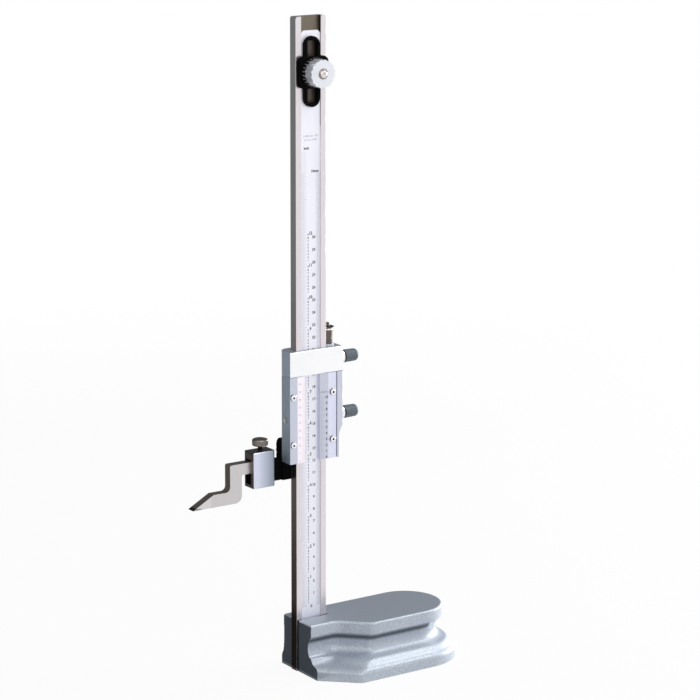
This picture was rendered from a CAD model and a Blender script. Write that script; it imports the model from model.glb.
"""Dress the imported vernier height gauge: finishes, graduations, studio and camera."""

import logging
import math
from dataclasses import dataclass, field
from enum import Enum
from typing import ClassVar

import bpy
from mathutils import Matrix, Vector


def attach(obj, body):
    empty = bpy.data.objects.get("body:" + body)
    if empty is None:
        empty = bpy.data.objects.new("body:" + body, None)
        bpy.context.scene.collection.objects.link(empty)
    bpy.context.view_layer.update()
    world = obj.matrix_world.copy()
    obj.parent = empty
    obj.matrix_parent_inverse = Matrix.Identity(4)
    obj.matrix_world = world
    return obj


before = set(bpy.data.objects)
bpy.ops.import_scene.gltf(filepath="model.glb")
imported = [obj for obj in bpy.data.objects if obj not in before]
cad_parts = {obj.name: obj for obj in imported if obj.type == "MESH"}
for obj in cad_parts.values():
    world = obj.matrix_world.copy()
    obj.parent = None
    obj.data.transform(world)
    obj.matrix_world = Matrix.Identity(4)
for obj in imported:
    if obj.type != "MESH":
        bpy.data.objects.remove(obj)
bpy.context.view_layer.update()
MM = 0.001
UPRIGHT = 0.5 * math.pi          # turns a flat plane to face -Y
CAP_SHARE = 0.7                  # cap height of the text font, as a share of its size
SENSOR_MM = 36.0
log = logging.getLogger("height_gauge")

Point = tuple[float, float, float]
Colour = tuple[float, float, float]


class Side(Enum):
    """The two printed sides of the scale and of the slider's window."""

    INCH = -1
    METRIC = 1


class Axis(Enum):
    """Direction that a ground or turned pattern runs along."""

    ALONG_X = 0
    ALONG_Y = 1
    ALONG_Z = 2


# --------------------------------------------------------------------------- node tools
class Nodes:
    """Small builder for one node tree, so that a finish reads top to bottom."""

    def __init__(self, tree: bpy.types.NodeTree) -> None:
        """Keep the tree that the nodes are added to."""
        self.tree = tree

    def add(self, kind: str, **settings: object) -> bpy.types.Node:
        """Add a node and set its attributes.

        Args:
            kind: Blender's type name of the node.
            settings: attributes of the node, such as operation.

        Returns:
            The new node.
        """
        node = self.tree.nodes.new(kind)
        for name, value in settings.items():
            setattr(node, name, value)
        return node

    def feed(self, node: bpy.types.Node, socket: str | int, source: object) -> None:
        """Link a socket or set its value.

        Args:
            node: the node that is fed.
            socket: name or index of its input.
            source: an output socket, or a plain value.
        """
        if isinstance(source, bpy.types.NodeSocket):
            self.tree.links.new(source, node.inputs[socket])
        else:
            node.inputs[socket].default_value = source

    def math(self, operation: str, a: object, b: object = 0.0,
             clamp: bool = False) -> bpy.types.NodeSocket:
        """Add a Math node.

        Args:
            operation: its operation.
            a: first value or socket.
            b: second value or socket.
            clamp: whether the result stays in 0..1.

        Returns:
            The result's socket.
        """
        node = self.add("ShaderNodeMath", operation=operation, use_clamp=clamp)
        self.feed(node, 0, a)
        self.feed(node, 1, b)
        return node.outputs[0]

    def vector(self, operation: str, a: object, b: object) -> bpy.types.NodeSocket:
        """Add a Vector Math node on two vectors.

        Args:
            operation: the node's operation.
            a: the first vector or socket.
            b: the second vector or socket.

        Returns:
            The result's socket.
        """
        node = self.add("ShaderNodeVectorMath", operation=operation)
        self.feed(node, 0, a)
        self.feed(node, 1, b)
        return node.outputs[0]

    def spread(self, value: object, low: float, high: float,
               to_low: float = 0.0, to_high: float = 1.0) -> bpy.types.NodeSocket:
        """Map a value from one range to another, clamped.

        Args:
            value: the socket that is mapped.
            low: its value that gives to_low.
            high: its value that gives to_high.
            to_low: first end of the result.
            to_high: second end of the result.

        Returns:
            The mapped value's socket.
        """
        node = self.add("ShaderNodeMapRange", clamp=True)
        for index, item in enumerate((value, low, high, to_low, to_high)):
            self.feed(node, index, item)
        return node.outputs[0]

    def blend(self, share: object, a: object, b: object,
              blend_type: str = "MIX") -> bpy.types.NodeSocket:
        """Mix two colours.

        Args:
            share: how much of b shows.
            a: first colour or socket.
            b: second colour or socket.
            blend_type: Blender's name for the kind of mix.

        Returns:
            The mixed colour's socket.
        """
        node = self.add("ShaderNodeMix", data_type="RGBA", blend_type=blend_type)
        self.feed(node, 0, share)
        self.feed(node, 6, a if isinstance(a, bpy.types.NodeSocket) else (*a, 1.0))
        self.feed(node, 7, b if isinstance(b, bpy.types.NodeSocket) else (*b, 1.0))
        return node.outputs[2]

    def noise(self, place: object, scale: float, detail: float = 2.0,
              rough: float = 0.5) -> bpy.types.NodeSocket:
        """Add a noise texture and return its value.

        Args:
            place: the vector that it is read at.
            scale: cells per metre.
            detail: octaves.
            rough: weight of the finer octaves.

        Returns:
            The noise's socket, about 0..1.
        """
        node = self.add("ShaderNodeTexNoise")
        self.feed(node, "Vector", place)
        self.feed(node, "Scale", scale)
        self.feed(node, "Detail", detail)
        self.feed(node, "Roughness", rough)
        return node.outputs[0]


def shared_group(name: str, inputs: list[tuple[str, str, object]],
                 outputs: list[tuple[str, str]]
                 ) -> tuple[bpy.types.NodeTree, Nodes, object, object]:
    """Start a shader node group with named sockets.

    Args:
        name: the group's name.
        inputs: name, socket type and default of each input.
        outputs: name and socket type of each output.

    Returns:
        The tree, its builder, its input node and its output node.
    """
    tree = bpy.data.node_groups.new(name, "ShaderNodeTree")
    for label, kind, default in inputs:
        socket = tree.interface.new_socket(label, in_out="INPUT", socket_type=kind)
        socket.default_value = default
    for label, kind in outputs:
        tree.interface.new_socket(label, in_out="OUTPUT", socket_type=kind)
    nodes = Nodes(tree)
    return tree, nodes, nodes.add("NodeGroupInput"), nodes.add("NodeGroupOutput")


FLOAT, VECTOR = "NodeSocketFloat", "NodeSocketVector"


class Effects:
    """Node groups that several finishes share, each built once."""

    made: dict[str, bpy.types.NodeTree] = {}

    @classmethod
    def get(cls, name: str) -> bpy.types.NodeTree:
        """Find a shared group, and build it the first time it is asked for.

        Args:
            name: the method that builds it.

        Returns:
            The group.
        """
        if name not in cls.made:
            cls.made[name] = getattr(cls, name)()
        return cls.made[name]

    @staticmethod
    def grain() -> bpy.types.NodeTree:
        """Fine even grain with slow cloudy variation, as on satin chrome or castings.

        Returns:
            The group.
        """
        tree, n, start, end = shared_group(
            "fine_grain",
            [("Place", VECTOR, (0, 0, 0)), ("Grain Scale", FLOAT, 2500.0),
             ("Cloud Scale", FLOAT, 25.0)],
            [("Grain", FLOAT), ("Cloud", FLOAT), ("Specks", FLOAT)])
        place = start.outputs["Place"]
        grain = n.noise(place, 1.0, 2.0, 0.6)
        n.feed(grain.node, "Scale", start.outputs["Grain Scale"])
        cloud = n.noise(place, 1.0, 3.0, 0.55)
        n.feed(cloud.node, "Scale", start.outputs["Cloud Scale"])
        cells = n.add("ShaderNodeTexVoronoi")
        n.feed(cells, "Vector", place)
        n.feed(cells, "Scale", n.math("MULTIPLY", start.outputs["Grain Scale"], 0.22))
        specks = n.spread(cells.outputs["Distance"], 0.16, 0.06)
        n.feed(end, "Grain", grain)
        n.feed(end, "Cloud", n.spread(cloud, 0.3, 0.7))
        n.feed(end, "Specks", specks)
        return tree

    @staticmethod
    def ground() -> bpy.types.NodeTree:
        """Long fine grinding lines along one axis, with a few deeper scratches.

        Returns:
            The group.
        """
        tree, n, start, end = shared_group(
            "grinding_lines",
            [("Place", VECTOR, (0, 0, 0)), ("Stretch", VECTOR, (1, 1, 0.02)),
             ("Line Scale", FLOAT, 3500.0)],
            [("Lines", FLOAT), ("Scratches", FLOAT), ("Cloud", FLOAT)])
        shaped = n.vector("MULTIPLY", start.outputs["Place"], start.outputs["Stretch"])
        lines = n.noise(shaped, 1.0, 3.0, 0.65)
        n.feed(lines.node, "Scale", start.outputs["Line Scale"])
        deep = n.noise(shaped, 1.0, 1.0, 0.5)
        n.feed(deep.node, "Scale", n.math("MULTIPLY", start.outputs["Line Scale"], 0.31))
        cloud = n.noise(start.outputs["Place"], 22.0, 3.0, 0.55)
        n.feed(end, "Lines", n.spread(lines, 0.3, 0.7))
        n.feed(end, "Scratches", n.spread(deep, 0.68, 0.78))
        n.feed(end, "Cloud", n.spread(cloud, 0.3, 0.7))
        return tree

    @staticmethod
    def turned() -> bpy.types.NodeTree:
        """Angle and radius about an axis through a centre, with knurl ribs and lathe rings.

        Returns:
            The group.
        """
        tree, n, start, end = shared_group(
            "turned_about_axis",
            [("Across", FLOAT, 0.0), ("Up", FLOAT, 0.0), ("Along", FLOAT, 0.0),
             ("Ribs", FLOAT, 60.0), ("Pitch", FLOAT, 0.0007)],
            [("Radius", FLOAT), ("Knurl", FLOAT), ("Rings", FLOAT)])
        across, up = start.outputs["Across"], start.outputs["Up"]
        along = start.outputs["Along"]
        angle = n.math("ARCTAN2", up, across)
        radius = n.math("POWER", n.math("ADD", n.math("MULTIPLY", across, across),
                                        n.math("MULTIPLY", up, up)), 0.5)
        turn = n.math("MULTIPLY", angle, start.outputs["Ribs"])
        rise = n.math("MULTIPLY", n.math("DIVIDE", along, start.outputs["Pitch"]), math.tau)
        one = n.math("SINE", n.math("ADD", turn, rise))
        other = n.math("SINE", n.math("SUBTRACT", turn, rise))
        knurl = n.math("MULTIPLY_ADD", n.math("ADD", one, other), 0.25)
        knurl.node.inputs[2].default_value = 0.5
        rings = n.add("ShaderNodeTexNoise", noise_dimensions="1D")
        n.feed(rings, "W", n.math("MULTIPLY", radius, 9000.0))
        n.feed(rings, "Scale", 1.0)
        n.feed(end, "Radius", radius)
        n.feed(end, "Knurl", knurl)
        n.feed(end, "Rings", rings.outputs[0])
        return tree

    @staticmethod
    def box() -> bpy.types.NodeTree:
        """1 inside a box given by its low and high corner, with a soft edge.

        Returns:
            The group.
        """
        tree, n, start, end = shared_group(
            "inside_box",
            [("Place", VECTOR, (0, 0, 0)), ("Low", VECTOR, (0, 0, 0)),
             ("High", VECTOR, (1, 1, 1)), ("Soft", VECTOR, (0.0001, 0.0001, 0.0001))],
            [("Mask", FLOAT)])
        place = start.outputs["Place"]
        least = n.vector("MINIMUM", n.vector("SUBTRACT", place, start.outputs["Low"]),
                         n.vector("SUBTRACT", start.outputs["High"], place))
        parts = n.add("ShaderNodeSeparateXYZ")
        n.feed(parts, 0, n.vector("DIVIDE", least, start.outputs["Soft"]))
        inside = n.math("MINIMUM", n.math("MINIMUM", parts.outputs[0], parts.outputs[1]),
                        parts.outputs[2])
        n.feed(end, "Mask", n.math("ADD", inside, 0.0, clamp=True))
        return tree


# --------------------------------------------------------------------------- finishes
@dataclass(frozen=True)
class Zone:
    """Part of a piece, given as a box in millimetres, that has worn or been finished otherwise."""

    low: Point
    high: Point
    colour: Colour
    roughness: float
    soft: Point = (0.1, 0.1, 0.1)
    share: float = 1.0


@dataclass(frozen=True)
class Finish:
    """A surface finish; each kind of it builds one material."""

    name: str
    colour: Colour
    shade: Colour
    roughness: float
    metallic: float = 0.0
    specular: float = 0.5
    zones: tuple[Zone, ...] = ()
    ior: float = 1.5

    built: ClassVar[dict[str, bpy.types.Material]] = {}

    def material(self) -> bpy.types.Material:
        """Build the material, or find it if it is already there.

        Returns:
            The material.
        """
        if self.name in Finish.built:
            return Finish.built[self.name]
        made = bpy.data.materials.new(self.name)
        Finish.built[self.name] = made
        made.use_nodes = True
        n = Nodes(made.node_tree)
        shader = made.node_tree.nodes["Principled BSDF"]
        shader.inputs["Metallic"].default_value = self.metallic
        shader.inputs["Specular IOR Level"].default_value = self.specular
        shader.inputs["IOR"].default_value = self.ior
        shader.inputs["Roughness"].default_value = self.roughness
        place = n.add("ShaderNodeTexCoord").outputs["Object"]
        self.dress(n, shader, place)
        return made

    def dress(self, n: Nodes, shader: bpy.types.Node, place: bpy.types.NodeSocket) -> None:
        """Add this finish's colour, roughness and relief to the shader.

        Args:
            n: the material's nodes.
            shader: its shader.
            place: the point in object space.
        """
        raise NotImplementedError

    @staticmethod
    def effect(n: Nodes, name: str, **values: object) -> bpy.types.Node:
        """Place a shared group in the tree.

        Args:
            n: the material's node builder.
            name: the group's name in Effects.
            values: its inputs, with underscores for spaces.

        Returns:
            The group node.
        """
        node = n.add("ShaderNodeGroup", node_tree=Effects.get(name))
        for label, value in values.items():
            n.feed(node, label.replace("_", " "), value)
        return node

    def paint(self, n: Nodes, shader: bpy.types.Node, place: object, tone: object,
              grain: object, swing: tuple[float, float]) -> None:
        """Feed colour and roughness to the shader, with the piece's zones laid over them.

        Args:
            n: the material's node builder.
            shader: the shader that is fed.
            place: the Object coordinates.
            tone: the colour's socket.
            grain: a value about 0.3..0.7 that varies the roughness.
            swing: how far the roughness goes below and above its middle.
        """
        rough = n.spread(grain, 0.3, 0.7, self.roughness - swing[0], self.roughness + swing[1])
        for zone in self.zones:
            low, high, soft = (tuple(v * MM for v in corner)
                               for corner in (zone.low, zone.high, zone.soft))
            box = self.effect(n, "box", Place=place, Low=low, High=high, Soft=soft)
            mask = n.math("MULTIPLY", box.outputs["Mask"], zone.share)
            own = n.blend(n.spread(grain, 0.3, 0.7, 0.0, 0.4), zone.colour,
                          tuple(0.72 * c for c in zone.colour))
            tone = n.blend(mask, tone, own)
            keep = n.math("MULTIPLY", rough, n.math("SUBTRACT", 1.0, mask))
            rough = n.math("ADD", keep, n.math("MULTIPLY", mask, zone.roughness))
        n.feed(shader, "Base Color", tone)
        n.feed(shader, "Roughness", rough)

    @staticmethod
    def relief(n: Nodes, shader: bpy.types.Node, height: object, depth: float,
               strength: float) -> None:
        """Feed a height to the shader's normal.

        Args:
            n: the material's node builder.
            shader: the shader that is fed.
            height: the height's socket, 0..1.
            depth: its depth in metres.
            strength: how strongly it shows.
        """
        bump = n.add("ShaderNodeBump")
        n.feed(bump, "Strength", strength)
        n.feed(bump, "Distance", depth)
        n.feed(bump, "Height", height)
        n.feed(shader, "Normal", bump.outputs[0])


@dataclass(frozen=True)
class Satin(Finish):
    """Satin chrome or bead-blasted metal: fine grain, soft clouds, a few dull specks."""

    grain_scale: float = 2600.0
    depth: float = 0.00002

    def dress(self, n: Nodes, shader: bpy.types.Node, place: bpy.types.NodeSocket) -> None:
        """Add this finish's colour, roughness and relief to the shader.

        Args:
            n: the material's nodes.
            shader: its shader.
            place: the point in object space.
        """
        g = self.effect(n, "grain", Place=place, Grain_Scale=self.grain_scale, Cloud_Scale=30.0)
        tone = n.blend(n.math("MULTIPLY", g.outputs["Cloud"], 0.45), self.colour, self.shade)
        tone = n.blend(n.spread(g.outputs["Grain"], 0.35, 0.7, 0.0, 0.35), tone, self.shade)
        self.paint(n, shader, place, tone, g.outputs["Grain"], (0.05, 0.07))
        self.relief(n, shader, g.outputs["Grain"], self.depth, 0.35)


@dataclass(frozen=True)
class Ground(Finish):
    """Ground or brushed steel with lines along one axis."""

    axis: Axis = Axis.ALONG_Z
    depth: float = 0.00001

    def dress(self, n: Nodes, shader: bpy.types.Node, place: bpy.types.NodeSocket) -> None:
        """Add this finish's colour, roughness and relief to the shader.

        Args:
            n: the material's nodes.
            shader: its shader.
            place: the point in object space.
        """
        stretch = [1.0, 1.0, 1.0]
        stretch[self.axis.value] = 0.015
        g = self.effect(n, "ground", Place=place, Stretch=tuple(stretch))
        tone = n.blend(n.math("MULTIPLY", g.outputs["Lines"], 0.5), self.colour, self.shade)
        tone = n.blend(n.math("MULTIPLY", g.outputs["Cloud"], 0.25), tone, self.shade)
        tone = n.blend(n.math("MULTIPLY", g.outputs["Scratches"], 0.3), tone,
                       tuple(0.5 * c for c in self.shade))
        self.paint(n, shader, place, tone, g.outputs["Lines"], (0.06, 0.08))
        self.relief(n, shader, g.outputs["Lines"], self.depth, 0.4)


@dataclass(frozen=True)
class CastPaint(Finish):
    """Silver hammer paint on a casting: orange peel, fine metal flake, soft clouds."""

    def dress(self, n: Nodes, shader: bpy.types.Node, place: bpy.types.NodeSocket) -> None:
        """Add this finish's colour, roughness and relief to the shader.

        Args:
            n: the material's nodes.
            shader: its shader.
            place: the point in object space.
        """
        g = self.effect(n, "grain", Place=place, Grain_Scale=1000.0, Cloud_Scale=18.0)
        tone = n.blend(n.math("MULTIPLY", g.outputs["Cloud"], 0.35), self.colour, self.shade)
        tone = n.blend(n.spread(g.outputs["Grain"], 0.40, 0.62, 0.0, 0.85), tone, self.shade)
        tone = n.blend(n.math("MULTIPLY", g.outputs["Specks"], 0.35), tone,
                       tuple(min(1.0, 1.35 * c) for c in self.colour))
        self.paint(n, shader, place, tone, g.outputs["Grain"], (0.06, 0.1))
        peel = n.noise(place, 420.0, 2.0, 0.5)
        height = n.math("ADD", n.math("MULTIPLY", peel, 0.8),
                        n.math("MULTIPLY", g.outputs["Grain"], 0.2))
        self.relief(n, shader, height, 0.00012, 0.35)


@dataclass(frozen=True)
class Oxide(Finish):
    """Black oxide or dark lacquer, with brown bloom and rubbed high spots."""

    bloom: float = 0.5

    def dress(self, n: Nodes, shader: bpy.types.Node, place: bpy.types.NodeSocket) -> None:
        """Add this finish's colour, roughness and relief to the shader.

        Args:
            n: the material's nodes.
            shader: its shader.
            place: the point in object space.
        """
        g = self.effect(n, "grain", Place=place, Grain_Scale=1900.0, Cloud_Scale=60.0)
        tone = n.blend(n.math("MULTIPLY", g.outputs["Cloud"], self.bloom), self.colour, self.shade)
        tone = n.blend(n.math("MULTIPLY", g.outputs["Specks"], 0.3), tone, self.shade)
        self.paint(n, shader, place, tone, g.outputs["Grain"], (0.05, 0.1))
        self.relief(n, shader, g.outputs["Grain"], 0.00002, 0.3)


@dataclass(frozen=True)
class WornRim(Oxide):
    """Black oxide on a serrated wheel about an axis along Y, rubbed bright on its tooth tips."""

    centre: Point = (0.0, 0.0, 0.0)
    tip_radius: float = 11.1 * MM

    def dress(self, n: Nodes, shader: bpy.types.Node, place: bpy.types.NodeSocket) -> None:
        """Add this finish's colour, roughness and relief to the shader.

        Args:
            n: the material's nodes.
            shader: its shader.
            place: the point in object space.
        """
        parts = n.add("ShaderNodeSeparateXYZ")
        n.feed(parts, 0, n.vector("SUBTRACT", place, self.centre))
        t = self.effect(n, "turned", Across=parts.outputs[0], Up=parts.outputs[2],
                        Along=parts.outputs[1])
        g = self.effect(n, "grain", Place=place, Grain_Scale=1900.0, Cloud_Scale=60.0)
        tone = n.blend(n.math("MULTIPLY", g.outputs["Cloud"], self.bloom), self.colour, self.shade)
        worn = n.spread(t.outputs["Radius"], self.tip_radius, self.tip_radius + 0.2 * MM,
                        0.0, 0.5)
        tone = n.blend(worn, tone, (0.55, 0.53, 0.52))
        self.paint(n, shader, place, tone, g.outputs["Grain"], (0.05, 0.1))
        self.relief(n, shader, g.outputs["Grain"], 0.00002, 0.3)


@dataclass(frozen=True)
class Turned(Finish):
    """Turned or knurled metal or plastic about an axis through a centre."""

    centre: Point = (0.0, 0.0, 0.0)
    axis: Axis = Axis.ALONG_Z
    ribs: float = 60.0
    pitch: float = 0.0009
    knurl: float = 0.0
    rings: float = 0.3

    def dress(self, n: Nodes, shader: bpy.types.Node, place: bpy.types.NodeSocket) -> None:
        """Add this finish's colour, roughness and relief to the shader.

        Args:
            n: the material's nodes.
            shader: its shader.
            place: the point in object space.
        """
        parts = n.add("ShaderNodeSeparateXYZ")
        n.feed(parts, 0, n.vector("SUBTRACT", place, self.centre))
        order = {Axis.ALONG_X: (1, 2, 0), Axis.ALONG_Y: (0, 2, 1), Axis.ALONG_Z: (0, 1, 2)}
        a, b, c = (parts.outputs[i] for i in order[self.axis])
        t = self.effect(n, "turned", Across=a, Up=b, Along=c, Ribs=self.ribs, Pitch=self.pitch)
        g = self.effect(n, "grain", Place=place, Grain_Scale=2200.0, Cloud_Scale=80.0)
        mark = n.spread(t.outputs["Rings"], 0.35, 0.65)
        tone = n.blend(n.math("MULTIPLY", mark, self.rings), self.colour, self.shade)
        tone = n.blend(n.math("MULTIPLY", g.outputs["Cloud"], 0.25), tone, self.shade)
        height = n.math("MULTIPLY", mark, 0.12)
        if self.knurl > 0:
            groove = n.spread(t.outputs["Knurl"], 0.55, 0.2)
            tone = n.blend(n.math("MULTIPLY", groove, 0.8 * self.knurl), tone,
                           tuple(0.45 * v for v in self.shade))
            height = n.math("MULTIPLY", t.outputs["Knurl"], self.knurl)
        self.paint(n, shader, place, tone, g.outputs["Grain"], (0.05, 0.08))
        self.relief(n, shader, height, 0.00018 if self.knurl else 0.00002, 0.6)


@dataclass(frozen=True)
class Moulded(Finish):
    """Moulded plastic or rubber with a fine spark-eroded texture."""

    texture: float = 1400.0

    def dress(self, n: Nodes, shader: bpy.types.Node, place: bpy.types.NodeSocket) -> None:
        """Add this finish's colour, roughness and relief to the shader.

        Args:
            n: the material's nodes.
            shader: its shader.
            place: the point in object space.
        """
        g = self.effect(n, "grain", Place=place, Grain_Scale=self.texture, Cloud_Scale=120.0)
        tone = n.blend(n.spread(g.outputs["Grain"], 0.4, 0.65, 0.0, 0.7), self.colour, self.shade)
        tone = n.blend(n.math("MULTIPLY", g.outputs["Cloud"], 0.3), tone, self.shade)
        self.paint(n, shader, place, tone, g.outputs["Grain"], (0.08, 0.08))
        self.relief(n, shader, g.outputs["Grain"], 0.00008, 0.5)


@dataclass(frozen=True)
class InkFill(Finish):
    """Engraved marks filled with enamel, slightly uneven along the stroke."""

    def dress(self, n: Nodes, shader: bpy.types.Node, place: bpy.types.NodeSocket) -> None:
        """Add this finish's colour, roughness and relief to the shader.

        Args:
            n: the material's nodes.
            shader: its shader.
            place: the point in object space.
        """
        g = self.effect(n, "grain", Place=place, Grain_Scale=3000.0, Cloud_Scale=150.0)
        tone = n.blend(n.math("MULTIPLY", g.outputs["Cloud"], 0.5), self.colour, self.shade)
        self.paint(n, shader, place, tone, g.outputs["Grain"], (0.1, 0.1))


FEED_AXIS = (21.0 * MM, 4.3 * MM, 0.27)
ZERO_AXIS = (0.0, -15.0 * MM, 482.3 * MM)
CLAMP_AXIS = (-38.8 * MM, 10.45 * MM, 0.19)
KNOB_AXIS = (40.0 * MM, -1.2 * MM, 0.0)

BASE_PAINT = CastPaint(
    "base_hammer_paint", (0.58, 0.63, 0.70), (0.38, 0.43, 0.50), 0.42, 0.3,
    zones=(Zone((-14, -90, -1), (-12.8, 30, 50), (0.10, 0.125, 0.15), 0.42),
           Zone((-12.8, -90, 26.5), (90, 0, 33.4), (0.05, 0.062, 0.075), 0.5,
                (0.1, 0.1, 2.6), share=0.9),
           Zone((-20, -90, 42.9), (140, 30, 44), (0.33, 0.375, 0.44), 0.45, share=0.9)))
COLUMN_STEEL = Ground(
    "column_ground_steel", (0.78, 0.73, 0.76), (0.63, 0.59, 0.615), 0.27, 1.0,
    zones=(Zone((-14.3, -3.9, -900), (-13.9, 6, 1400), (0.68, 0.69, 0.70), 0.3),
           Zone((-14.3, -3.9, -300), (-13.9, 6, 330), (0.24, 0.19, 0.175), 0.3,
                (0.1, 0.1, 250.0)),
           Zone((-9.6, -3.9, 440), (9.6, -0.7, 513.8), (0.15, 0.12, 0.105), 0.45),
           Zone((-9.6, -3.9, 513.6), (9.6, -0.7, 526), (0.19, 0.165, 0.13), 0.45),
           Zone((8.9, -3.95, 500), (9.7, -0.9, 526), (0.01, 0.01, 0.01), 0.5),
           Zone((-14.3, -3.9, -20), (-13.9, 6, 60), (0.045, 0.032, 0.028), 0.4,
                (0.1, 0.1, 16.0)),
           Zone((-13.8, -5, -1), (14.2, 5, 42.95), (0.012, 0.012, 0.012), 0.6)))
SCALE_CHROME = Satin(
    "scale_satin_chrome", (0.88, 0.88, 0.95), (0.77, 0.78, 0.86), 0.45, 0.72,
    zones=(Zone((4.9, -3.4, 52), (9.2, -3.0, 404), (0.82, 0.82, 0.90), 0.45, share=0.7),
           Zone((-9.2, -3.4, 52), (-3.7, -3.0, 421), (0.82, 0.82, 0.90), 0.45, share=0.7),
           Zone((-7.2, -3.1, 440), (7.2, 0, 512), (0.02, 0.02, 0.02), 0.6),
           Zone((-4.9, -3.3, 456.5), (4.9, -2.9, 508), (0.05, 0.04, 0.035), 0.6)))
SLIDER_CHROME = Satin(
    "slider_satin_chrome", (0.74, 0.76, 0.90), (0.63, 0.65, 0.78), 0.42, 0.85,
    zones=(Zone((6.9, -7.2, 170), (14.5, -4, 250), (0.56, 0.575, 0.66), 0.42, share=0.8),
           Zone((22.6, -8, 170), (30, -6.6, 250), (0.62, 0.64, 0.73), 0.4),
           Zone((-14.5, -7.2, 170), (-6.9, -4, 250), (0.97, 0.90, 0.96), 0.42, share=0.85),
           Zone((-21.6, -7.2, 170), (-14.5, -6.4, 250), (0.56, 0.59, 0.68), 0.42, share=0.8),
           Zone((-21.8, -6.3, 170), (-21.2, 8, 250), (0.62, 0.74, 0.86), 0.4)))
CARRIAGE_CHROME = Satin(
    "carriage_satin_chrome", (0.96, 0.96, 0.97), (0.88, 0.89, 0.92), 0.46, 0.6,
    zones=(Zone((-21.8, -6.3, 240), (-21.1, 8, 266), (0.60, 0.70, 0.82), 0.4),
           Zone((-22, -6.2, 263.4), (30, 10, 266), (0.55, 0.58, 0.66), 0.4)))
BOX_CHROME = Satin(
    "clamp_box_satin", (0.70, 0.73, 0.86), (0.58, 0.61, 0.73), 0.34, 0.9,
    zones=(Zone((-46, -90, 100), (90, 90, 300), (0.22, 0.27, 0.33), 0.34, (17.0, 0.1, 0.1)),
           Zone((-60, 2.5, 150), (-20, 20, 190), (0.20, 0.17, 0.155), 0.35,
                (0.2, 0.2, 0.2)),
           Zone((-60, 2.5, 183.5), (-20, 20, 190), (0.10, 0.10, 0.105), 0.35)))
BRIGHT_STEEL = Turned("bright_screw_steel", (0.78, 0.74, 0.72), (0.52, 0.48, 0.46), 0.2, 1.0)
SCREW_HEADS = Turned("vernier_screw_steel", (0.90, 0.90, 0.92), (0.70, 0.70, 0.73), 0.25, 1.0,
                     zones=(Zone((-25, -7.65, 170), (25, 1, 240), (0.02, 0.02, 0.022), 0.3),))
BLACK_OXIDE = Oxide("black_oxide_film", (0.003, 0.003, 0.0035), (0.008, 0.007, 0.006), 0.6,
                    ior=1.07)
BRASS = Ground("gib_brass", (0.62, 0.47, 0.22), (0.45, 0.32, 0.14), 0.3, 1.0)
SCRIBER_STEEL = Satin(
    "scriber_ground_face", (0.63, 0.605, 0.61), (0.53, 0.51, 0.515), 0.34, 0.9,
    zones=(Zone((-130, 5, 130), (-86.3, 9, 200), (0.70, 0.68, 0.685), 0.34, (0.4, 0.1, 0.1)),
           Zone((-130, 6.75, 130), (-20, 20, 200), (0.27, 0.225, 0.205), 0.35)))
CARBIDE = Oxide("carbide_insert", (0.02, 0.02, 0.021), (0.05, 0.048, 0.046), 0.25, 0.8,
                zones=(Zone((-130, 5, 130), (-90, 6.7, 160), (0.34, 0.33, 0.325), 0.3),))
GRIP = Moulded("grip_plastic", (0.15, 0.18, 0.205), (0.06, 0.078, 0.092), 0.55, 0.1, 0.3,
               texture=1000.0)
RING = Moulded("ring_rubber", (0.006, 0.006, 0.007), (0.012, 0.012, 0.012), 0.6,
               ior=1.1)
INK = InkFill("black_enamel", (0.015, 0.02, 0.028), (0.045, 0.055, 0.075), 0.45)
INK_GREY = InkFill("grey_enamel", (0.25, 0.28, 0.34), (0.34, 0.37, 0.43), 0.45)
INK_RED = InkFill("red_enamel", (0.55, 0.33, 0.33), (0.65, 0.45, 0.45), 0.45)


def dress_nodes(finish: Finish, *names: str) -> None:
    """Give CAD nodes a finish.

    Args:
        finish: the finish they get.
        names: the nodes' names.
    """
    made = finish.material()
    for name in names:
        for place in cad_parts[name].material_slots:
            place.material = made
        log.info("node %s dressed with %s", name, finish.name)


# --------------------------------------------------------------------------- modelling tools
def deselect() -> None:
    """Leave edit mode and deselect all objects."""
    if bpy.context.object and bpy.context.object.mode != "OBJECT":
        bpy.ops.object.mode_set(mode="OBJECT")
    bpy.ops.object.select_all(action="DESELECT")


def only(obj: bpy.types.Object) -> bpy.types.Object:
    """Select one object and make it active.

    Args:
        obj: the object.

    Returns:
        The same object.
    """
    deselect()
    obj.select_set(True)
    bpy.context.view_layer.objects.active = obj
    return obj


def join(name: str, items: list[bpy.types.Object]) -> bpy.types.Object:
    """Join meshes into one object at the origin.

    Args:
        name: the joined object's name.
        items: the meshes.

    Returns:
        The joined object.
    """
    deselect()
    for item in items:
        item.select_set(True)
    bpy.context.view_layer.objects.active = items[0]
    if len(items) > 1:
        bpy.ops.object.join()
    joined = bpy.context.view_layer.objects.active
    bpy.ops.object.transform_apply(location=True, rotation=True, scale=True)
    joined.name = name
    joined.data.name = name
    return joined


def stack(item: bpy.types.Object, count: int, pitch: float) -> bpy.types.Object:
    """Repeat a mesh upwards.

    Args:
        item: the mesh object.
        count: how many there are.
        pitch: distance between them in millimetres.

    Returns:
        The same object with all of them.
    """
    only(item)
    if count > 1:
        array = item.modifiers.new("repeat", "ARRAY")
        array.count = count
        array.use_relative_offset = False
        array.use_constant_offset = True
        array.constant_offset_displace = (0.0, 0.0, pitch * MM)
        bpy.ops.object.modifier_apply(modifier=array.name)
    return item


def finish_piece(piece: bpy.types.Object, body: str, finish: Finish) -> None:
    """Dress a new piece, tie it to its body and report it.

    Args:
        piece: the finished mesh object.
        body: the CAD body that it rides on.
        finish: its finish.
    """
    piece.data.materials.clear()
    piece.data.materials.append(finish.material())
    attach(piece, body)
    log.info("piece %s on %s: %d faces", piece.name, body, len(piece.data.polygons))


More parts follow.
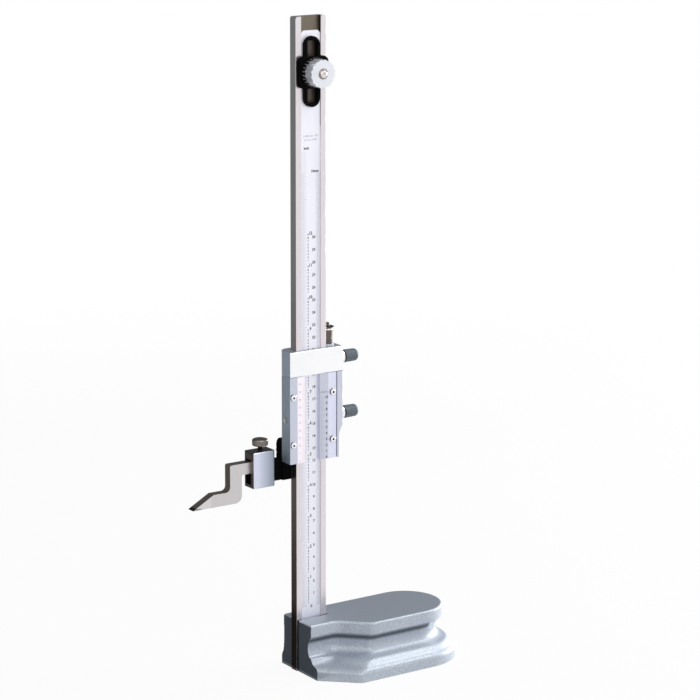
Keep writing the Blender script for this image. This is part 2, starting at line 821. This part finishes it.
@dataclass
class MarkFace:
    """An upright face towards -Y that carries ticks and numerals, in millimetres.

    Its depth may slope with X, as on a vernier's bevel.
    """

    body: str
    y_at: tuple[tuple[float, float], tuple[float, float]]
    thickness: float = 0.02
    slot: str = "black_oxide"

    def depth(self, x: float) -> float:
        """Y of the face at an X, in millimetres."""
        (x0, y0), (x1, y1) = self.y_at
        return y0 + (y1 - y0) * (x - x0) / (x1 - x0)

    def lean(self) -> float:
        """Angle by which the face turns away from the X axis."""
        (x0, y0), (x1, y1) = self.y_at
        return math.atan2((y1 - y0) * math.copysign(1.0, x1 - x0), abs(x1 - x0))

    def tick(self, x0: float, x1: float, z: float, width: float) -> bpy.types.Object:
        """Model one tick: a thin bar that lies on the face.

        Args:
            x0: one end of the tick.
            x1: its other end.
            z: its height.
            width: its line width.

        Returns:
            The tick's mesh object.
        """
        deselect()
        middle = (0.5 * (x0 + x1) * MM, self.depth(0.5 * (x0 + x1)) * MM, z * MM)
        bpy.ops.mesh.primitive_plane_add(size=MM, location=middle,
                                         rotation=(UPRIGHT, 0.0, self.lean()))
        bar = bpy.context.object
        bar.scale = (abs(x1 - x0) / math.cos(self.lean()), width, 1.0)
        bpy.ops.object.transform_apply(location=True, rotation=True, scale=True)
        bpy.ops.object.mode_set(mode="EDIT")
        bpy.ops.mesh.select_all(action="SELECT")
        bpy.ops.mesh.extrude_region_move(
            TRANSFORM_OT_translate={"value": (0.0, -self.thickness * MM, 0.0)})
        bpy.ops.mesh.select_all(action="SELECT")
        bpy.ops.mesh.normals_make_consistent(inside=False)
        bpy.ops.object.mode_set(mode="OBJECT")
        return bar

    def row(self, x0: float, x1: float, z: float, pitch: float, count: int,
            width: float) -> bpy.types.Object:
        """Repeat a tick up the face.

        Args:
            x0: one end of the ticks.
            x1: their other end.
            z: height of the first.
            pitch: distance between them.
            count: how many there are.
            width: their line width.

        Returns:
            One mesh object with all of them.
        """
        return stack(self.tick(x0, x1, z, width), count, pitch)

    def word(self, text: str, x: float, z: float, height: float, bold: float = 0.0,
             repeat: int = 1, pitch: float = 0.0) -> bpy.types.Object:
        """Set a numeral or unit mark on the face.

        Args:
            text: what it says.
            x: its middle across the face.
            z: its middle up the face.
            height: its cap height.
            bold: how much the strokes are thickened.
            repeat: how many there are, one above the other.
            pitch: distance between them.

        Returns:
            The mark's mesh object.
        """
        deselect()
        bpy.ops.object.text_add(location=(0, 0, 0))
        mark = bpy.context.object
        mark.data.body = text
        mark.data.size = height / CAP_SHARE * MM
        mark.data.align_x = "CENTER"
        mark.data.align_y = "CENTER"
        mark.data.resolution_u = 2
        mark.data.offset = bold * MM
        mark.data.extrude = 0.5 * self.thickness * MM
        bpy.ops.object.convert(target="MESH")
        mark = bpy.context.object
        mark.rotation_euler = (UPRIGHT, 0.0, self.lean())
        mark.location = Vector((x, self.depth(x) - 0.5 * self.thickness, z)) * MM
        bpy.ops.object.transform_apply(location=True, rotation=True, scale=True)
        return stack(mark, repeat, pitch)

    def done(self, name: str, items: list[bpy.types.Object], finish: Finish) -> None:
        """Join marks into one piece on the face's body.

        Args:
            name: the piece's name.
            items: the marks.
            finish: their finish.
        """
        finish_piece(join(name, items), self.body, finish)


# --------------------------------------------------------------------------- sub-assemblies
class Assembly:
    """A group of CAD nodes that are dressed together."""

    def dress(self) -> None:
        """Finish the group's nodes."""
        raise NotImplementedError

    def build(self) -> None:
        """Build the sub-assembly."""
        self.dress()


@dataclass
class StandAssembly(Assembly):
    """Cast base with the ground column that stands in its slot."""

    def dress(self) -> None:
        """Finish the base, the column and their screws."""
        dress_nodes(BASE_PAINT, "base_casting")
        dress_nodes(COLUMN_STEEL, "column")
        dress_nodes(BLACK_OXIDE, "column_screws")


@dataclass
class MainScale(Assembly):
    """Sliding main scale with inch and millimetre graduations."""

    zero_z: float = 53.0
    face_y: float = -3.2
    inch: float = 25.4
    numeral_h: float = 2.1
    inch_numeral_x: float = -0.1
    mm_numeral_x: float = 2.85
    tenth_x: float = -2.3
    face: MarkFace = field(init=False)

    def __post_init__(self) -> None:
        """Set up the printed face."""
        self.face = MarkFace("scale", ((-9.0, self.face_y), (9.0, self.face_y)))

    def metric_ticks(self) -> None:
        """Millimetre lines along the right edge, longer at 5 and 10 mm."""
        f, z = self.face, self.zero_z
        rows = [f.row(5.9, 8.9, z, 1.0, 351, 0.14), f.row(5.4, 5.9, z, 5.0, 71, 0.14),
                f.row(4.9, 5.4, z, 10.0, 36, 0.16)]
        f.done("scale_mm_lines", rows, INK_GREY)

    def inch_ticks(self) -> None:
        """Lines at 0.05 inch along the left edge, longer at tenths and inches."""
        f, z = self.face, self.zero_z
        rows = [f.row(-8.9, -6.2, z, 0.05 * self.inch, 277, 0.14),
                f.row(-6.2, -5.2, z, 0.1 * self.inch, 139, 0.14),
                f.row(-5.2, -3.6, z, self.inch, 14, 0.16)]
        f.done("scale_inch_lines", rows, INK_GREY)

    def numerals(self) -> None:
        """Centimetre numerals, inch numerals and the small tenths between them."""
        f, z = self.face, self.zero_z
        metric = [f.word(str(n), self.mm_numeral_x, z + 10.0 * n, self.numeral_h, 0.11)
                  for n in range(1, 31)]
        f.done("scale_mm_numerals", metric, INK)
        whole = [f.word(str(n), self.inch_numeral_x, z + self.inch * n - 1.5, 2.3, 0.13)
                 for n in range(1, 13)]
        whole.append(f.word("0", 0.4, z - 0.9, 2.4, 0.1))
        f.done("scale_inch_numerals", whole, INK)
        tenths = [f.word(str(n), self.tenth_x, z + 0.1 * self.inch * n, 1.5, 0.07,
                         12, self.inch) for n in range(1, 10)]
        f.done("scale_tenth_numerals", tenths, INK)

    def unit_marks(self) -> None:
        """Plain unit marks above the graduations."""
        f = self.face
        f.done("scale_unit_marks", [f.word("inch", -3.8, 423.2, 2.0, 0.12),
                                    f.word("10mm", 4.0, 404.9, 2.0, 0.12)], INK)
        f.done("scale_value_marks", [f.word("0-300 mm  0.02", 0.3, 432.6, 1.5),
                                     f.word("0-12 in  0.001", 0.3, 429.6, 1.5)], INK_GREY)

    def dress(self) -> None:
        """Finish the scale strip."""
        dress_nodes(SCALE_CHROME, "main_scale")

    def build(self) -> None:
        """Build the sub-assembly."""
        super().build()
        self.metric_ticks()
        self.inch_ticks()
        self.numerals()
        self.unit_marks()


@dataclass
class ZeroSetting(Assembly):
    """Pinion knob that lifts the main scale by its rack plate."""

    knob: Turned = Turned("knob_turned_face", (0.86, 0.88, 0.92), (0.66, 0.70, 0.76), 0.32, 0.6,
                          centre=ZERO_AXIS, axis=Axis.ALONG_Y, rings=0.25)
    wheel: WornRim = WornRim("wheel_black", (0.004, 0.004, 0.005), (0.010, 0.009, 0.008), 0.5,
                             ior=1.07, centre=ZERO_AXIS)

    def dress(self) -> None:
        """Finish the housing, rack, wheel and knob."""
        dress_nodes(BLACK_OXIDE, "zero_housing", "rack_plate", "rack_rivets",
                    "zero_housing_screws")
        dress_nodes(self.wheel, "zero_wheel")
        dress_nodes(self.knob, "zero_knob")
        dress_nodes(BRIGHT_STEEL, "zero_pinion", "zero_screw")
        dress_nodes(Turned("washer_steel", (0.36, 0.32, 0.31), (0.2, 0.18, 0.17), 0.25, 1.0,
                           centre=ZERO_AXIS, axis=Axis.ALONG_Y), "zero_washer")


@dataclass
class FineFeed(Assembly):
    """Carriage above the slider with the fine feed screw and its thimble."""

    thimble: Turned = Turned("thimble_steel", (0.15, 0.132, 0.122), (0.08, 0.07, 0.064), 0.3, 1.0,
                             zones=(Zone((15, -2, 275.9), (27, 11, 277.2), (0.85, 0.84, 0.84),
                                         0.2),),
                             centre=FEED_AXIS, ribs=48.0, pitch=0.0008, knurl=0.5)
    cap: Turned = Turned("cap_dark_steel", (0.10, 0.09, 0.085), (0.05, 0.045, 0.04), 0.3, 0.9,
                         centre=FEED_AXIS)

    def dress(self) -> None:
        """Finish the carriage and the feed screw."""
        dress_nodes(CARRIAGE_CHROME, "feed_carriage")
        dress_nodes(self.thimble, "feed_thimble")
        dress_nodes(self.cap, "feed_cap", "feed_cap_screw")
        dress_nodes(BRIGHT_STEEL, "feed_screw", "feed_nut")


@dataclass
class Slider(Assembly):
    """Slider with an inch and a metric vernier beside its reading window."""

    zero_z: float = 174.9
    metric_pitch: float = 0.98
    inch_pitch: float = 1.2446
    bevel: tuple[tuple[float, float], tuple[float, float]] = ((7.1, -5.6), (14.5, -6.5))

    def face(self, side: Side) -> MarkFace:
        """The bevelled face of one vernier.

        Args:
            side: which vernier.

        Returns:
            Its marking face.
        """
        (x0, y0), (x1, y1) = self.bevel
        return MarkFace("slider", ((side.value * x0, y0), (side.value * x1, y1)))

    def metric_vernier(self) -> None:
        """Fifty lines of 0.98 mm with numerals 0 to 10."""
        f, z = self.face(Side.METRIC), self.zero_z
        rows = [f.row(7.25, 10.0, z, self.metric_pitch, 51, 0.13),
                f.row(10.0, 11.4, z, 5 * self.metric_pitch, 11, 0.13)]
        f.done("metric_vernier_lines", rows, INK_GREY)
        words = [f.word(str(n), 13.0, z + 5 * self.metric_pitch * n, 1.9, 0.1)
                 for n in range(11)]
        f.done("metric_vernier_numerals", words, INK)
        f.done("metric_vernier_value", [f.word("0.02mm", 10.4, 228.2, 1.5, 0.04)], INK_GREY)

    def inch_vernier(self) -> None:
        """Fifty lines of 0.049 inch with numerals 0 to 50."""
        f, z = self.face(Side.INCH), self.zero_z + 0.3
        rows = [f.row(-9.6, -7.25, z, self.inch_pitch, 51, 0.12),
                f.row(-10.8, -9.6, z, 5 * self.inch_pitch, 11, 0.12)]
        f.done("inch_vernier_lines", rows, INK_RED)
        words = [f.word(str(5 * n), -12.3, z + 5 * self.inch_pitch * n, 1.6, 0.0)
                 for n in range(11)]
        f.done("inch_vernier_numerals", words, INK_RED)

    def dress(self) -> None:
        """Finish the slider's body, plates, gib and screws."""
        dress_nodes(SLIDER_CHROME, "slider_frame", "inch_vernier", "metric_vernier")
        dress_nodes(SCREW_HEADS, "vernier_screws")
        dress_nodes(BRIGHT_STEEL, "gib_screw")
        dress_nodes(BRASS, "slider_gib")
        dress_nodes(BLACK_OXIDE, "jaw", "jaw_screws")

    def build(self) -> None:
        """Build the sub-assembly."""
        super().build()
        self.metric_vernier()
        self.inch_vernier()


@dataclass
class ClampKnobs(Assembly):
    """Two clamp knobs: bright disc, black ring and moulded grip on a screw."""

    disc: Turned = Turned("disc_polished", (0.90, 0.90, 0.91), (0.7, 0.7, 0.72), 0.18, 1.0,
                          centre=KNOB_AXIS, axis=Axis.ALONG_X)

    def dress(self) -> None:
        """Finish both knobs and their shoes."""
        for name in ("upper", "lower"):
            dress_nodes(self.disc, f"{name}_disc")
            dress_nodes(RING, f"{name}_ring")
            dress_nodes(GRIP, f"{name}_grip")
            dress_nodes(BRIGHT_STEEL, f"{name}_screw")
            dress_nodes(BRASS, f"{name}_shoe")


@dataclass
class ScriberClamp(Assembly):
    """Clamp box, its knurled screw and the carbide-tipped scriber."""

    head: Turned = Turned("clamp_screw_steel", (0.23, 0.205, 0.19), (0.13, 0.115, 0.105), 0.28,
                          1.0, zones=(Zone((-50, 0, 170), (-20, 20, 188.3),
                                           (0.02, 0.018, 0.016), 0.3),), centre=CLAMP_AXIS)

    def dress(self) -> None:
        """Finish the clamp and the scriber."""
        dress_nodes(BOX_CHROME, "clamp_box")
        dress_nodes(self.head, "clamp_screw")
        dress_nodes(BRASS, "clamp_pad")
        dress_nodes(SCRIBER_STEEL, "scriber")
        dress_nodes(CARBIDE, "scriber_tip")


# --------------------------------------------------------------------------- studio
def bare_material(name: str) -> tuple[bpy.types.Material, Nodes, bpy.types.NodeSocket]:
    """Start a material that has no shader yet.

    Args:
        name: its name.

    Returns:
        The material, its nodes and the point in object space.
    """
    made = bpy.data.materials.new(name)
    made.use_nodes = True
    made.node_tree.nodes.remove(made.node_tree.nodes["Principled BSDF"])
    n = Nodes(made.node_tree)
    return made, n, n.add("ShaderNodeTexCoord").outputs["Object"]


@dataclass
class Studio:
    """Pale floor, white surround, soft lamps and the dark cards that metal mirrors."""

    floor_radius: float = 1.5
    key_power: float = 14.0
    side_power: float = 46.0
    fill_power: float = 3.0
    top_power: float = 8.0
    floor_glow: float = 0.94
    sky_fill: float = 0.25

    def floor(self) -> None:
        """Round pale floor whose rim fades into the white surround."""
        deselect()
        bpy.ops.mesh.primitive_circle_add(vertices=96, radius=self.floor_radius,
                                          fill_type="NGON", location=(0, 0, 0))
        disc = bpy.context.object
        disc.name = "studio_floor"
        made, n, place = bare_material("studio_floor")
        length = n.add("ShaderNodeVectorMath", operation="LENGTH")
        n.feed(length, 0, place)
        rim = n.spread(length.outputs["Value"], 0.55 * self.floor_radius, 0.95 * self.floor_radius)
        grain = n.noise(place, 14.0, 3.0)
        matt = n.add("ShaderNodeBsdfDiffuse")
        n.feed(matt, "Color", n.blend(grain, (0.80, 0.80, 0.80), (0.84, 0.84, 0.84)))
        glow = n.add("ShaderNodeEmission")
        n.feed(glow, "Strength", 1.0)
        lit = n.add("ShaderNodeMixShader")
        n.feed(lit, 0, n.math("MULTIPLY", self.seen(n), self.floor_glow))
        n.feed(lit, 1, matt.outputs[0])
        n.feed(lit, 2, glow.outputs[0])
        clear = n.add("ShaderNodeBsdfTransparent")
        faded = n.add("ShaderNodeMixShader")
        n.feed(faded, 0, rim)
        n.feed(faded, 1, lit.outputs[0])
        n.feed(faded, 2, clear.outputs[0])
        n.feed(made.node_tree.nodes["Material Output"], "Surface", faded.outputs[0])
        disc.data.materials.append(made)

    @staticmethod
    def seen(n: Nodes) -> bpy.types.NodeSocket:
        """1 for a ray that shows the surround: from the camera, a gloss or glass.

        Args:
            n: the builder of the tree that asks.

        Returns:
            The value's socket.
        """
        path = n.add("ShaderNodeLightPath")
        some = n.math("MAXIMUM", path.outputs["Is Camera Ray"], path.outputs["Is Glossy Ray"])
        return n.math("MAXIMUM", some, path.outputs["Is Transmission Ray"])

    def surround(self) -> None:
        """White world, dimmer where it only lights the object."""
        world = bpy.data.worlds.new("studio")
        bpy.context.scene.world = world
        world.use_nodes = True
        n = Nodes(world.node_tree)
        back = world.node_tree.nodes["Background"]
        n.feed(back, "Color", (0.93, 0.96, 1.0, 1.0))
        n.feed(back, "Strength", self.sky_fill)
        white = n.add("ShaderNodeBackground")
        n.feed(white, "Color", (1.0, 1.0, 1.0, 1.0))
        n.feed(white, "Strength", 1.0)
        mix = n.add("ShaderNodeMixShader")
        n.feed(mix, 0, self.seen(n))
        n.feed(mix, 1, back.outputs[0])
        n.feed(mix, 2, white.outputs[0])
        n.feed(world.node_tree.nodes["World Output"], "Surface", mix.outputs[0])

    @staticmethod
    def lamp(name: str, place: Point, aim: Point, size: tuple[float, float], power: float,
             colour: Colour) -> None:
        """Hang one softbox.

        Args:
            name: the lamp's name.
            place: where it hangs.
            aim: the point it faces.
            size: its width and height.
            power: its power in watts.
            colour: its colour.
        """
        deselect()
        bpy.ops.object.light_add(type="AREA", location=place)
        box = bpy.context.object
        box.name = name
        box.data.shape = "RECTANGLE"
        box.data.size, box.data.size_y = size
        box.data.energy = power
        box.data.color = colour
        box.rotation_euler = (Vector(aim) - Vector(place)).to_track_quat("-Z", "Y").to_euler()

    @staticmethod
    def card(name: str, middle: Point, turn: Point, size: tuple[float, float],
             tone: float) -> None:
        """Stand a dark card that shows only in gloss, to give metal its dark side.

        Args:
            name: the card's name.
            middle: its middle.
            turn: its rotation from lying flat.
            size: its width and height.
            tone: its grey.
        """
        deselect()
        bpy.ops.mesh.primitive_plane_add(size=1.0, location=middle, rotation=turn)
        card = bpy.context.object
        card.name = name
        card.scale = (*size, 1.0)
        bpy.ops.object.transform_apply(location=True, rotation=True, scale=True)
        made, n, place = bare_material(name)
        glow = n.add("ShaderNodeEmission")
        n.feed(glow, "Color", n.blend(n.noise(place, 6.0), (0.9 * tone,) * 3, (1.1 * tone,) * 3))
        n.feed(made.node_tree.nodes["Material Output"], "Surface", glow.outputs[0])
        card.data.materials.append(made)
        for ray in ("camera", "diffuse", "shadow", "transmission"):
            setattr(card, f"visible_{ray}", False)

    def build(self) -> None:
        """Set up the studio."""
        self.floor()
        self.surround()
        self.lamp("key_softbox", (-0.3, -1.8, 1.2), (0.0, 0.0, 0.2), (1.5, 1.5),
                  self.key_power, (1.0, 0.985, 0.98))
        self.lamp("side_softbox", (1.9, 0.05, 0.3), (0.0, 0.0, 0.05), (0.9, 0.8),
                  self.side_power, (1.0, 0.99, 1.0))
        self.lamp("fill_softbox", (-1.6, -0.9, 0.9), (0.0, 0.0, 0.25), (1.2, 1.2),
                  self.fill_power, (0.93, 0.96, 1.0))
        self.lamp("top_softbox", (0.95, -0.4, 1.45), (0.0, 0.0, 0.05), (0.6, 0.6),
                  self.top_power, (1.0, 1.0, 1.0))
        self.card("left_card", (-0.2, 0.85, 0.6), (UPRIGHT, 0.0, UPRIGHT), (1.5, 1.3), 0.20)
        self.card("low_card", (-0.335, 0.475, 0.002), (0.0, 0.0, 0.0), (0.65, 1.15), 0.13)
        self.card("back_card", (0.7, 0.75, 0.8), (UPRIGHT, 0.0, 0.0), (1.8, 1.5), 0.16)


@dataclass
class CameraRig:
    """Long-lens camera, slightly above and to the left of the gauge."""

    place: Point = (-1.14651, -1.74688, 0.74801)
    yaw: float = 34.1738
    pitch: float = 13.0805
    roll: float = 0.144
    focal_px: float = 2728.55
    image_px: int = 700

    def build(self) -> None:
        """Create the scene's camera."""
        yaw, pitch, roll = (math.radians(a) for a in (self.yaw, self.pitch, self.roll))
        ahead = Vector((math.sin(yaw) * math.cos(pitch), math.cos(yaw) * math.cos(pitch),
                        -math.sin(pitch)))
        right = Vector((math.cos(yaw), -math.sin(yaw), 0.0))
        up = right.cross(ahead)
        across = math.cos(roll) * right + math.sin(roll) * up
        above = -math.sin(roll) * right + math.cos(roll) * up
        basis = Matrix((across, above, -ahead)).transposed().to_4x4()
        deselect()
        bpy.ops.object.camera_add(location=(0, 0, 0))
        camera = bpy.context.object
        camera.name = "camera"
        camera.matrix_world = Matrix.Translation(Vector(self.place)) @ basis
        camera.data.sensor_width = SENSOR_MM
        camera.data.lens = self.focal_px * SENSOR_MM / self.image_px
        camera.data.clip_start = 0.05
        camera.data.clip_end = 50.0
        bpy.context.scene.camera = camera


def main() -> None:
    """Build the studio and every sub-assembly in order."""
    logging.basicConfig(level=logging.INFO, format="%(name)s: %(message)s")
    scene = bpy.context.scene
    scene.view_settings.view_transform = "Standard"
    CameraRig().build()
    Studio().build()
    for assembly in (StandAssembly(), MainScale(), ZeroSetting(), FineFeed(), Slider(),
                     ClampKnobs(), ScriberClamp()):
        log.info("building %s", type(assembly).__name__)
        assembly.build()
    deselect()


if __name__ == "__main__":
    main()
